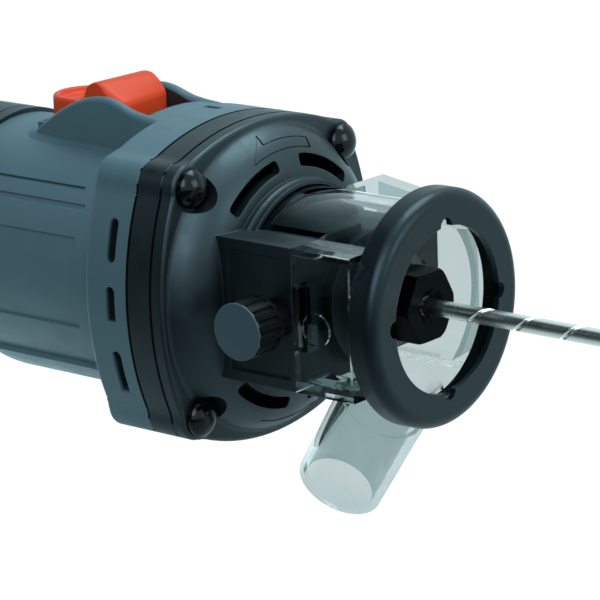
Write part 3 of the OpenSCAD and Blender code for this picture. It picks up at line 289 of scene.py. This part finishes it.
# black of the arrow lines on the dome, and painted shade in the joint grooves
arrow_and_seam_shade_mat = plastic("arrow_and_seam_shade", srgb(2, 2, 3), rough=0.7, spec=0.05)
carbon = plastic("carbon", srgb(34, 34, 35), rough=0.6)
shaft_mat = metal("shaft_steel", srgb(120, 124, 128), rough=0.3, vary=0.2)
steel = metal("steel", srgb(190, 192, 196), rough=0.24)
bit_mat = metal("bit_steel", srgb(240, 235, 228), rough=0.25, brush=(1, 0.2, 0.2),
                brush_scale=2600.0, edge=0.0001, vary=0.04, spread=0.12, depth=0.000003)
brass = metal("brass", srgb(205, 168, 96), rough=0.3)
copper = metal("copper", srgb(196, 118, 70), rough=0.35)
iron = metal("iron", srgb(120, 122, 124), rough=0.45)
clear = clear_plastic("clear_plastic")

LOOK = {
    ring_mat: ["foot_ring"],
    clear: ["depth_guide"],
    cover: ["front_cover", "spacer_plate", "rear_cover", "brush_caps"],
    housing: ["motor_housing"],
    screw_mat: ["cover_screws"],
    gland_mat: ["cable_gland"],
    knob_mat: ["clamp_knob"],
    cap_mat: ["knob_cap"],
    orange: ["switch_slider"],
    nut_mat: ["collet_nut"],
    shaft_mat: ["spindle_shaft"],
    bit_mat: ["cutter_bit"],
    inner: ["switch_link", "switch_block", "bearing_bridge", "fan"],
    carbon: ["carbon_brushes"],
    brass: ["clamp_insert", "brush_holders"],
    iron: ["armature_core", "field_core"],
    copper: ["armature_windings", "commutator", "field_coils"],
    steel: ["rear_screws", "knob_stud", "collet", "nose_bearing", "front_bearing",
            "bearing_retainer", "rear_bearing", "brush_springs"],
}
for mat, names in LOOK.items():
    for name in names:
        nodes[name].data.materials.clear()
        nodes[name].data.materials.append(mat.data)


# Meshes, with all sizes in millimetres
def piece(name, verts, faces, mat, body, slot, *stands_for, flat=False):
    """A piece that rides on a body, and may stand for a CAD node."""
    mesh = bpy.data.meshes.new(name)
    mesh.from_pydata([tuple(v * MM for v in p) for p in verts], [], faces)
    mesh.materials.append(mat.data)
    for poly in mesh.polygons:
        poly.use_smooth = not flat
    mesh.update()
    ob = bpy.data.objects.new(name, mesh)
    bpy.context.collection.objects.link(ob)
    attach(ob, body)
    if stands_for:
        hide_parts(*stands_for)


def clamp01(t):
    return min(1.0, max(0.0, t))


def smooth(t):
    t = clamp01(t)
    return t * t * (3 - 2 * t)


def strips(count, n, closed=True, flip=False):
    """Quads between one loop of n points and the next, for count loops."""
    quads = []
    for i in range(count - 1):
        for k in range(n if closed else n - 1):
            a, b = i * n + k, i * n + (k + 1) % n
            quads.append((a, a + n, b + n, b) if flip else (a, b, b + n, a + n))
    return quads


def loop_face(loop, n, flip=False):
    return tuple(loop * n + k for k in range(n))[::-1 if flip else 1]


def capped(count, n, flip=False):
    """Strips with a face over the first loop and one over the last."""
    return strips(count, n, flip=flip) + [loop_face(0, n, not flip), loop_face(count - 1, n, flip)]


def tube(points, radius, sides=8):
    """A thin round bead along points."""
    pts = [Vector(p) for p in points]
    verts = []
    for i, p in enumerate(pts):
        d = (pts[min(i + 1, len(pts) - 1)] - pts[max(i - 1, 0)]).normalized()
        side = d.cross(Vector((1, 0, 0)))
        side = side.normalized() if side.length > 1e-4 else Vector((0, 1, 0))
        other = d.cross(side)
        for k in range(sides):
            t = 2 * math.pi * k / sides
            verts.append(p + radius * (math.cos(t) * side + math.sin(t) * other))
    return verts, capped(len(pts), sides)


# Cutter: polished rod with one narrow spiral flute, plain at the shank, with a short point
BIT_R, PITCH, FLUTE_AT, FLUTE_START, FLUTE_DEPTH, FLUTE_HALF = 2.29, 15.0, 10.3, 7.2, 0.52, 0.82
POINT, POINT_SHARE, SIDES = 3.0, 0.86, 72
SHANK_END, ROW = 6.95, 0.15


def flute_depth(x, turn):
    u = (x - FLUTE_AT - PITCH * turn) % PITCH
    u = min(u, PITCH - u)
    return FLUTE_DEPTH * clamp01((FLUTE_HALF - u) / 0.2) * clamp01((x - FLUTE_START) / 1.2)


bit_lo, bit_hi = (corner.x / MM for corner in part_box("cutter_bit"))
point_at = bit_hi - POINT
rows = [bit_lo + 0.01, 0.0, 4.0, 6.8]
rows += [SHANK_END + ROW * i for i in range(int((point_at - SHANK_END) / ROW))]
rows += [point_at + 0.3 * i for i in range(10)] + [bit_hi - 0.02]
verts = []
for x in rows:
    taper = 1 - POINT_SHARE * max(0.0, x - point_at) / POINT
    for k in range(SIDES):
        t = 2 * math.pi * k / SIDES
        r = (BIT_R - flute_depth(x, k / SIDES)) * taper
        verts.append((x, -r * math.cos(t), r * math.sin(t)))
faces = capped(len(rows), SIDES, flip=True)
piece("spiral_cutter", verts, faces, bit_mat, "spindle", "bit_steel", "cutter_bit")

# Knob cap: a flush disc over the whole face with a fine rounded edge
CAP_R, CAP_EDGE, CAP_SIDES = 7.9, 0.3, 96
cap_lo, cap_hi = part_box("knob_cap")
knob_x, cap_y = (cap_lo.x + cap_hi.x) / 2 / MM, cap_lo.y / MM
turns = [math.pi / 2 * i / 5 for i in range(6)]
prof = [(4.0, 0.0), (CAP_R - 0.8, 0.0)]
prof += [(CAP_R - CAP_EDGE * (1 - math.sin(a)), CAP_EDGE * (1 - math.cos(a))) for a in turns]
prof += [(CAP_R, 0.75), (CAP_R - 0.25, 0.8), (4.0, 0.8)]
verts = []
for r, dy in prof:
    for k in range(CAP_SIDES):
        t = 2 * math.pi * k / CAP_SIDES
        verts.append((knob_x + r * math.cos(t), cap_y + dy, r * math.sin(t)))
faces = strips(len(prof), CAP_SIDES, flip=True)
centre = len(verts)
verts.append((knob_x, cap_y, 0.0))
faces += [(centre, k, (k + 1) % CAP_SIDES) for k in range(CAP_SIDES)]
piece("knob_disc", verts, faces, cap_mat, "knob", "cap_slate", "knob_cap")

# Fine lines on the dome: the plain arrow of the turning direction and a short arc below
DOME_X, DOME_RING, DOME_TUBE = -69.27, 28.73, 16.376


def on_dome(r, angle):
    a = math.radians(angle)
    x = DOME_X + math.sqrt(DOME_TUBE ** 2 - (r - DOME_RING) ** 2)
    return (x, -r * math.cos(a), r * math.sin(a))


def dome_line(p, q, n):
    """From one radius and angle to another."""
    return [on_dome(p[0] + (q[0] - p[0]) * i / n, p[1] + (q[1] - p[1]) * i / n)
            for i in range(n + 1)]


STROKES = [
    ((38.0, 70.7), (42.5, 81.6), 8, 0.05), ((42.5, 81.6), (40.45, 80.9), 8, 0.22),
    ((40.4, 80.9), (40.4, 107.2), 24, 0.12), ((40.4, 107.2), (37.9, 107.2), 8, 0.2),
    ((37.85, 107.2), (37.85, 70.7), 24, 0.12), ((40.0, -106), (40.0, -72), 24, 0.15),
]
for i, (p, q, n, width) in enumerate(STROKES):
    piece("dome_line_%d" % i, *tube(dome_line(p, q, n), width), arrow_and_seam_shade_mat, "tool", "cover_black")

# Joint lines in the grooves between flange, spacer and rim: black bands of painted shade, for the
# shade that falls in these gaps
BOW, HALF, LOBE, BLEND, SCREW = 78.0, 45.7, 6.6, 8.0, 32.5
bow_back = BOW - HALF
far_blend, far_lobe = BOW + BLEND, math.hypot(SCREW + bow_back, SCREW)
blend_turn = math.atan2(SCREW, SCREW + bow_back) - math.acos(
    (far_blend ** 2 + far_lobe ** 2 - (LOBE + BLEND) ** 2) / (2 * far_blend * far_lobe))
blend_at = (far_blend * math.cos(blend_turn) - bow_back, far_blend * math.sin(blend_turn))


def outline(out):
    """The lobed outline round the axis, moved out by that much."""
    def arc(centre, r, a0, a1, n):
        return [(centre[0] + r * math.cos(a0 + (a1 - a0) * i / n),
                 centre[1] + r * math.sin(a0 + (a1 - a0) * i / n)) for i in range(n)]
    to_lobe = math.atan2(SCREW - blend_at[1], SCREW - blend_at[0])
    eighth = arc((-bow_back, 0), BOW + out, 0, blend_turn, 16)
    eighth += arc(blend_at, BLEND - out, math.pi + blend_turn,
                  to_lobe + (2 * math.pi if to_lobe < 0 else 0), 8)
    eighth += arc((SCREW, SCREW), LOBE + out, to_lobe - math.pi, math.pi / 4, 10)
    corner = math.cos(math.pi / 4) * (LOBE + out) + SCREW
    quarter = eighth + [(corner, corner)] + [(b, a) for a, b in reversed(eighth[1:])]
    return [(a * c - b * s, a * s + b * c)
            for c, s in ((1, 0), (0, 1), (-1, 0), (0, -1)) for a, b in quarter]


def band(at, half_width, out, depth):
    """A flat band round the lobed outline, kept inside the CAD box."""
    outer, inside = outline(out), outline(out - depth)
    verts = [(x, min(y, HALF - 0.01), z)
             for x, loop in ((at - half_width, inside), (at - half_width, outer),
                             (at + half_width, outer), (at + half_width, inside))
             for y, z in loop]
    return verts, strips(4, len(outer))


for i, at in enumerate((-75.3, -66.7)):
    ring = band(at, 0.4, 0.03, 0.4)
    piece("seam_shade_line_%d" % i, *ring, arrow_and_seam_shade_mat, "tool", "cover_black", flat=True)

# Guard walls beside the switch
GUARD_REAR, GUARD_LEN, GUARD_IN, GUARD_END, GUARD_GROWS = -141.7, 53.0, 10.6, 11.2, 2.3
ROUND_LEN, ROUND_OUT, BARREL_R = 7.0, 1.3, 36.5
SIDE_SIGNS = (("near", -1), ("far", 1))


def guard_outside(x):
    """Outer face of a wall: round at its rear end and thicker towards the front."""
    t = clamp01((x - GUARD_REAR) / ROUND_LEN)
    end = GUARD_END + ROUND_OUT * math.sqrt(max(0.0, 1 - (1 - t) ** 2))
    return end + GUARD_GROWS * (x - GUARD_REAR) / GUARD_LEN


# Where the walls run out over the flange: rounded tops along this line
TOP_LINE = [(-102.0, 46.65), (-100.0, 46.05), (-98.2, 45.72), (-96.0, 45.4), (-94.0, 45.15),
            (-92.0, 44.98), (-90.0, 44.8), (-88.5, 44.6), (-87.0, 44.2)]
RUN_IN, RUN_FOOT, RUN_ARC = GUARD_IN + 0.02, 41.0, [math.pi * k / 12 for k in range(13)]
for side, sign in SIDE_SIGNS:
    verts = []
    for x, top in TOP_LINE:
        outside = guard_outside(x) + 0.02
        r = (outside - RUN_IN) / 2
        loop = [(RUN_IN + 0.13, RUN_FOOT)]
        loop += [(RUN_IN + r - r * math.cos(a), top - r * (1 - math.sin(a))) for a in RUN_ARC]
        loop += [(outside - 0.4, RUN_FOOT)]
        verts += [(x, sign * y, z) for y, z in loop]
    faces = strips(len(TOP_LINE), len(loop), closed=False, flip=sign > 0)
    piece("guard_run_%s" % side, verts, faces, housing, "tool", "housing_grey")

# A low swell carries each wall into the barrel round its rear end
SWELL, SWELL_WIDTH, SWELL_COLS, UNDER = 1.15, 2.6, 11, 0.12
END_AT, END_R = (-138.2, 10.2), (3.2, 2.1)
along = [(x, guard_outside(x), 0.0, 1.0) for x in [-121.0 - 2.0 * i for i in range(9)]]
along += [(END_AT[0] - END_R[0] * math.sin(a), END_AT[1] + END_R[1] * math.cos(a),
           -math.sin(a), math.cos(a)) for a in [math.pi * k / 16 for k in range(1, 9)]]
for side, sign in SIDE_SIGNS:
    verts = []
    for i, (x, y, dx, dy) in enumerate(along):
        swell = SWELL * smooth(i / 7.0)
        for k in range(SWELL_COLS):
            d = -0.8 + 3.6 * k / (SWELL_COLS - 1)
            px, py = x + dx * d, y + dy * d
            z = math.sqrt(BARREL_R ** 2 - py ** 2) - UNDER
            verts.append((px, sign * py, z + swell * (1 - smooth(max(0.0, d) / SWELL_WIDTH))))
    faces = strips(len(along), SWELL_COLS, closed=False, flip=sign < 0)
    piece("guard_foot_%s" % side, verts, faces, housing, "tool", "housing_grey")


# Slide switch: hood with a rounded ridge and a dished pad with two ribs
def between(a, b, t):
    return [(p[0] + (q[0] - p[0]) * t, p[1] + (q[1] - p[1]) * t) for p, q in zip(a, b)]


CORNER_STEPS = 5


def round_corners(pts, r):
    """The line with a curve in place of each inner point."""
    out = [pts[0]]
    for a, p, b in zip(pts, pts[1:], pts[2:]):
        a, p, b = Vector((*a, 0)), Vector((*p, 0)), Vector((*b, 0))
        k = min(r, (a - p).length * 0.45, (b - p).length * 0.45)
        u, v = p + (a - p).normalized() * k, p + (b - p).normalized() * k
        for i in range(CORNER_STEPS + 1):
            t = i / CORNER_STEPS
            out.append(tuple(((1 - t) ** 2 * u + 2 * t * (1 - t) * p + t * t * v)[:2]))
    return out + [pts[-1]]


SWITCH_FLOOR, SWITCH_HALF, RIDGE_R = 38.72, 10.28, 1.3
NEAR_END = [(-121.4, SWITCH_FLOOR), (-121.4, 47.3), (-119.6, 51.0), (-117.4, 52.1),
            (-115.0, 51.5), (-113.2, 48.6), (-111.8, 45.6), (-111.6, SWITCH_FLOOR)]
MIDDLE = [(-121.5, SWITCH_FLOOR), (-121.5, 46.6), (-119.6, 50.6), (-117.0, 52.1),
          (-114.6, 52.0), (-110.6, 48.9), (-107.3, 46.3), (-106.8, SWITCH_FLOOR)]
FAR_END = [(-121.2, SWITCH_FLOOR), (-121.2, 46.6), (-118.8, 50.8), (-116.2, 52.15),
           (-113.0, 52.0), (-110.2, 49.8), (-107.7, 46.6), (-107.6, SWITCH_FLOOR)]
MID_X, MID_Z, LOW_Z, FULL_AT, NEAR_RUN, FAR_RUN = -116.5, 45.0, 40.0, -6.4, 3.9, 16.7
EDGE_AT, EDGE_RUN, EDGE_SHRINK = 9.7, 0.6, 0.0315
STATIONS = [-SWITCH_HALF, -10.1, -9.8, -9.4, -8.8, -8.0, -7.2, FULL_AT, -4, 0, 4, 7, 9, 9.8, 10.1,
            SWITCH_HALF]
loops = []
for y in STATIONS:
    if y < FULL_AT:
        t = math.sqrt(max(0.0, 1 - ((FULL_AT - y) / NEAR_RUN) ** 2))
        shape = between(NEAR_END, MIDDLE, t)
    else:
        shape = between(MIDDLE, FAR_END, (y - FULL_AT) / FAR_RUN)
    shrink = EDGE_SHRINK * max(0.0, abs(y) - EDGE_AT) / EDGE_RUN
    loops.append([(x + (MID_X - x) * shrink, y, z + (MID_Z - z) * shrink if z > LOW_Z else z)
                  for x, z in round_corners(shape, RIDGE_R)])
n = len(loops[0])
# Both ends have points of their own, so that they meet the hood in a crisp edge
verts = [p for loop in loops + [loops[0], loops[-1]] for p in loop]
faces = strips(len(loops), n, closed=False)
faces += [loop_face(len(loops), n, flip=True), loop_face(len(loops) + 1, n)]
piece("switch_hood", verts, faces, orange, "switch", "switch_orange", "switch_slider")


def stadium(inset, z):
    r = SWITCH_HALF - inset
    turn = [math.pi * i / 32 for i in range(33)]
    round_end = [(-129.2 - r * math.sin(a), r * math.cos(a), z) for a in turn]
    return [(-120.5, r, z), (-124.5, r, z)] + round_end + [(-124.5, -r, z), (-120.5, -r, z)]


PAD = [(0.25, SWITCH_FLOOR), (0.02, SWITCH_FLOOR + 0.6), (0.0, 44.9), (0.08, 45.5), (0.3, 45.85),
       (0.65, 46.0), (1.5, 46.0), (1.8, 45.9), (2.05, 45.6), (2.3, 44.9), (2.7, 44.5), (3.6, 44.3)]
rings = [stadium(inset, z) for inset, z in PAD]
verts = [p for ring in rings for p in ring]
piece("switch_pad", verts, capped(len(rings), len(rings[0])), orange, "switch", "switch_orange")
for i, x in enumerate((-125.6, -129.6)):
    rib = tube([(x, y, 44.45) for y in (-7.2, -6.8, -3, 0, 3, 6.8, 7.2)], 0.85, 16)
    piece("switch_rib_%d" % i, *rib, orange, "switch", "switch_orange")

# Stage: four lamps, a white backdrop and a floor
TEAL = (0.74, 0.98, 1.06)
AIR = (0.68, 0.93, 1.0, 1)
WHITE = (1, 1, 1, 1)
ROOM, GLOSS_FAR, GLOSS_NEAR, GLOSS_UP = 0.20, 0.8, 0.02, 1.0
AIM = (-0.06, 0, 0)


def on_sky(az, el, far):
    """A place in the direction az from -Y towards +X, el above the horizon."""
    az, el = math.radians(az), math.radians(el)
    return (far * math.sin(az) * math.cos(el) + AIM[0], -far * math.cos(az) * math.cos(el),
            far * math.sin(el))


def area(name, loc, target, size, power):
    light = bpy.data.lights.new(name, "AREA")
    light.energy = power
    light.color = TEAL
    light.size = size
    ob = bpy.data.objects.new(name, light)
    bpy.context.collection.objects.link(ob)
    ob.location = loc
    ob.rotation_euler = (Vector(target) - Vector(loc)).to_track_quat("-Z", "Y").to_euler()


area("key", on_sky(30, 35, 1.3), AIM, 0.8, 9.0)
area("right", on_sky(104, 22, 1.2), AIM, 0.55, 3.2)
area("top", (0.1, 0.4, 1.1), (-0.1, 0, 0), 0.7, 11.0)
area("left_rear", on_sky(-60, 20, 1.4), (-0.12, 0, 0), 0.6, 1.3)


def backdrop_rays(g, beyond):
    """The rays that see the plain white: from the camera, or through glass to what is beyond.

    Light that has lit a dull surface inside the glass sees the room and not the white."""
    path = g.node("ShaderNodeLightPath").outputs
    sharp_only = g.calc("LESS_THAN", path["Diffuse Depth"], 0.5)
    seen = g.product(path["Is Transmission Ray"], beyond, sharp_only)
    return g.calc("MAXIMUM", path["Is Camera Ray"], seen), path, sharp_only


# World: gloss and glass see it pale on the far side and high on the right, and dim elsewhere
NEAR_WAY, RIGHT_WAY = (0.62, -0.74, 0.27), (0.795, 0.477, 0.371)
LIFT_SPAN, SHADE_SPAN, BEYOND_SPAN = (-0.26, 0.02), (-0.56, -0.2), (-0.9, -0.4)
world = bpy.data.worlds.new("studio")
bpy.context.scene.world = world
world.use_nodes = True
g = Graph(world.node_tree)
way = g.node("ShaderNodeTexCoord").outputs["Generated"]


def towards(direction):
    n = g.node("ShaderNodeVectorMath", operation="DOT_PRODUCT")
    g.feed(n.inputs[0], way)
    g.feed(n.inputs[1], direction)
    return n.outputs["Value"]


nearness = towards(NEAR_WAY)
lift = g.remap(towards(RIGHT_WAY), LIFT_SPAN, (GLOSS_NEAR, GLOSS_UP), smooth=True)
shade = g.remap(nearness, SHADE_SPAN, (GLOSS_FAR, 0.0), smooth=True)
beyond = g.remap(nearness, BEYOND_SPAN, (1.0, 0.0), smooth=True)
white, path, sharp_only = backdrop_rays(g, beyond)
sharp = g.calc("MAXIMUM", path["Is Glossy Ray"], path["Is Transmission Ray"])
light = g.mix_value(g.product(sharp, sharp_only), ROOM, g.calc("MAXIMUM", shade, lift))
sky = g.node("ShaderNodeBackground")
g.feed(sky.inputs["Strength"], g.mix_value(white, light, 1.0))
g.feed(sky.inputs["Color"], g.mix(white, AIR, WHITE))
g.feed(g.node("ShaderNodeOutputWorld").inputs[0], sky.outputs[0])

# Floor: white to the camera, with the object's shadow. To other rays it is pale beyond the
# object, dim on the near side, and paler under the rear, where it lights the belly.
FLOOR_SIZE, FLOOR_DROP, GLOW, GLOW_SHARE = 3.0, 0.0005, 1.06, 0.94
SEEN_SPAN, PALE_SPAN, REAR_SPAN = (-0.05, 0.02), (-0.2, 0.06), (-0.22, -0.08)
PALE, REAR_GAIN = (0.05, 0.9), (2.4, 1.0)
mesh = bpy.data.meshes.new("floor")
bm = bmesh.new()
bmesh.ops.create_grid(bm, x_segments=2, y_segments=2, size=FLOOR_SIZE)
bm.to_mesh(mesh)
bm.free()
floor = bpy.data.objects.new("floor", mesh)
bpy.context.collection.objects.link(floor)
floor.location = (0, 0, cad_box[0][2] - FLOOR_DROP)
paint = bpy.data.materials.new("floor_white")
paint.use_nodes = True
mesh.materials.append(paint)
g = Graph(paint.node_tree)
x, y, _ = g.split(g.node("ShaderNodeNewGeometry").outputs["Position"])
white = backdrop_rays(g, g.remap(y, SEEN_SPAN, (0.0, 1.0)))[0]
dull = g.node("ShaderNodeBsdfDiffuse", Color=(0.9, 0.9, 0.9, 1))
glow = g.node("ShaderNodeEmission", Color=WHITE, Strength=GLOW)
other = g.node("ShaderNodeEmission", Color=AIR)
pale = g.remap(y, PALE_SPAN, PALE, smooth=True)
g.feed(other.inputs["Strength"], g.product(pale, g.remap(x, REAR_SPAN, REAR_GAIN, smooth=True)))
shown = g.mix_shader(GLOW_SHARE, dull.outputs[0], glow.outputs[0])
g.feed(g.node("ShaderNodeOutputMaterial").inputs[0],
       g.mix_shader(white, other.outputs[0], shown))

# Camera, as fitted to the photograph: angles, focal length and place of the origin in pixels
AZ, EL, ROLL = math.radians(40.07), math.radians(15.60), math.radians(-2.116)
PICTURE, FOCAL, ORIGIN_AT, DIST, SENSOR = 600, 3219.5, (448.44, 309.91), 26.228 * 0.033, 36.0
back = Vector((math.sin(AZ) * math.cos(EL), -math.cos(AZ) * math.cos(EL), math.sin(EL)))
right = Vector((math.cos(AZ), math.sin(AZ), 0))
up = back.cross(right)
c, s = math.cos(ROLL), math.sin(ROLL)
right, up = c * right + s * up, -s * right + c * up
origin = Vector(((ORIGIN_AT[0] - PICTURE / 2) / FOCAL * DIST,
                 -(ORIGIN_AT[1] - PICTURE / 2) / FOCAL * DIST, -DIST))
rot = Matrix((right, up, back)).transposed()
cam_data = bpy.data.cameras.new("camera")
cam_data.sensor_width = SENSOR
cam_data.lens = FOCAL / PICTURE * SENSOR
cam_data.clip_start = 0.01
cam = bpy.data.objects.new("camera", cam_data)
bpy.context.collection.objects.link(cam)
cam.matrix_world = Matrix.Translation(-(rot @ origin)) @ rot.to_4x4()
bpy.context.scene.camera = cam
bpy.context.scene.view_settings.view_transform = "Standard"
